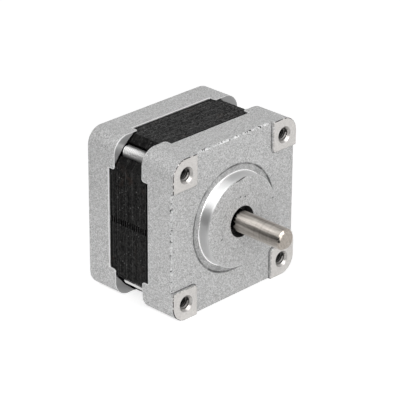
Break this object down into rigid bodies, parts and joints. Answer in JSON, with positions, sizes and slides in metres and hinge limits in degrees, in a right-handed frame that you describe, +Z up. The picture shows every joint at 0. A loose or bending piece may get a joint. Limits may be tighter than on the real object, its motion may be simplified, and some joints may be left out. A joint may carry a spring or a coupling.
{
  "type": "stepper motor",
  "caption": "Square hybrid stepper motor: cast aluminium caps on a bare lamination stack, round pilot, plain round shaft and a side connector.",
  "frame": {"origin": "centre of the pilot on the plane of the four mounting pads", "axes": "-Y along the shaft towards its tip, +Z up, +X to the right seen from the front; the body reaches towards +Y and stands on its side at the lowest Z"},
  "size_m": [0.041, 0.0423, 0.039],
  "materials": {
    "cast_cap": "blasted die casting with machined pads",
    "lamination": "black oxide on stacked sheet edges",
    "insulator": "moulded",
    "winding": "enamelled copper wire",
    "shaft_steel": "ground",
    "rotor_steel": "ground tooth tips",
    "magnet": "plain sintered magnet",
    "spacer_brass": "turned",
    "bearing_steel": "ground",
    "ball_steel": "polished",
    "cage_brass": "machined",
    "spring_steel": "spring steel",
    "screw_steel": "bright zinc plated",
    "board": "solder mask",
    "connector_plastic": "moulded nylon",
    "pin_metal": "tinned"
  },
  "bodies": {
    "housing": {"front_cap": "cast_cap", "rear_cap": "cast_cap", "stator_core": "lamination", "front_insulator": "insulator", "rear_insulator": "insulator", "coil_1": "winding", "coil_2": "winding", "coil_3": "winding", "coil_4": "winding", "coil_5": "winding", "coil_6": "winding", "coil_7": "winding", "coil_8": "winding", "front_bearing_outer_ring": "bearing_steel", "front_bearing_shields": "bearing_steel", "rear_bearing_outer_ring": "bearing_steel", "rear_bearing_shields": "bearing_steel", "wave_washer": "spring_steel", "tie_screws": "screw_steel", "spring_washers": "spring_steel", "terminal_board": "board", "connector_housing": "connector_plastic", "connector_pins": "pin_metal"},
    "rotor": {"shaft": "shaft_steel", "rotor_core_front": "rotor_steel", "rotor_core_rear": "rotor_steel", "rotor_magnet": "magnet", "front_spacer": "spacer_brass", "rear_spacer": "spacer_brass", "front_bearing_inner_ring": "bearing_steel", "rear_bearing_inner_ring": "bearing_steel"},
    "front_cage": {"front_bearing_balls": "ball_steel", "front_bearing_cage": "cage_brass"},
    "rear_cage": {"rear_bearing_balls": "ball_steel", "rear_bearing_cage": "cage_brass"}
  },
  "joints": [
    {"name": "shaft_spin", "type": "hinge", "parent": "housing", "child": "rotor", "pos_m": [0, 0, 0], "axis": [0, -1, 0], "continuous": true},
    {"name": "front_cage_roll", "type": "hinge", "parent": "housing", "child": "front_cage", "pos_m": [0, 0.0025, 0], "axis": [0, -1, 0], "continuous": true},
    {"name": "rear_cage_roll", "type": "hinge", "parent": "housing", "child": "rear_cage", "pos_m": [0, 0.0231, 0], "axis": [0, -1, 0], "continuous": true}
  ],
  "couplings": [
    {"joint": "front_cage_roll", "follows": "shaft_spin", "ratio": 0.3866},
    {"joint": "rear_cage_roll", "follows": "shaft_spin", "ratio": 0.3866}
  ]
}
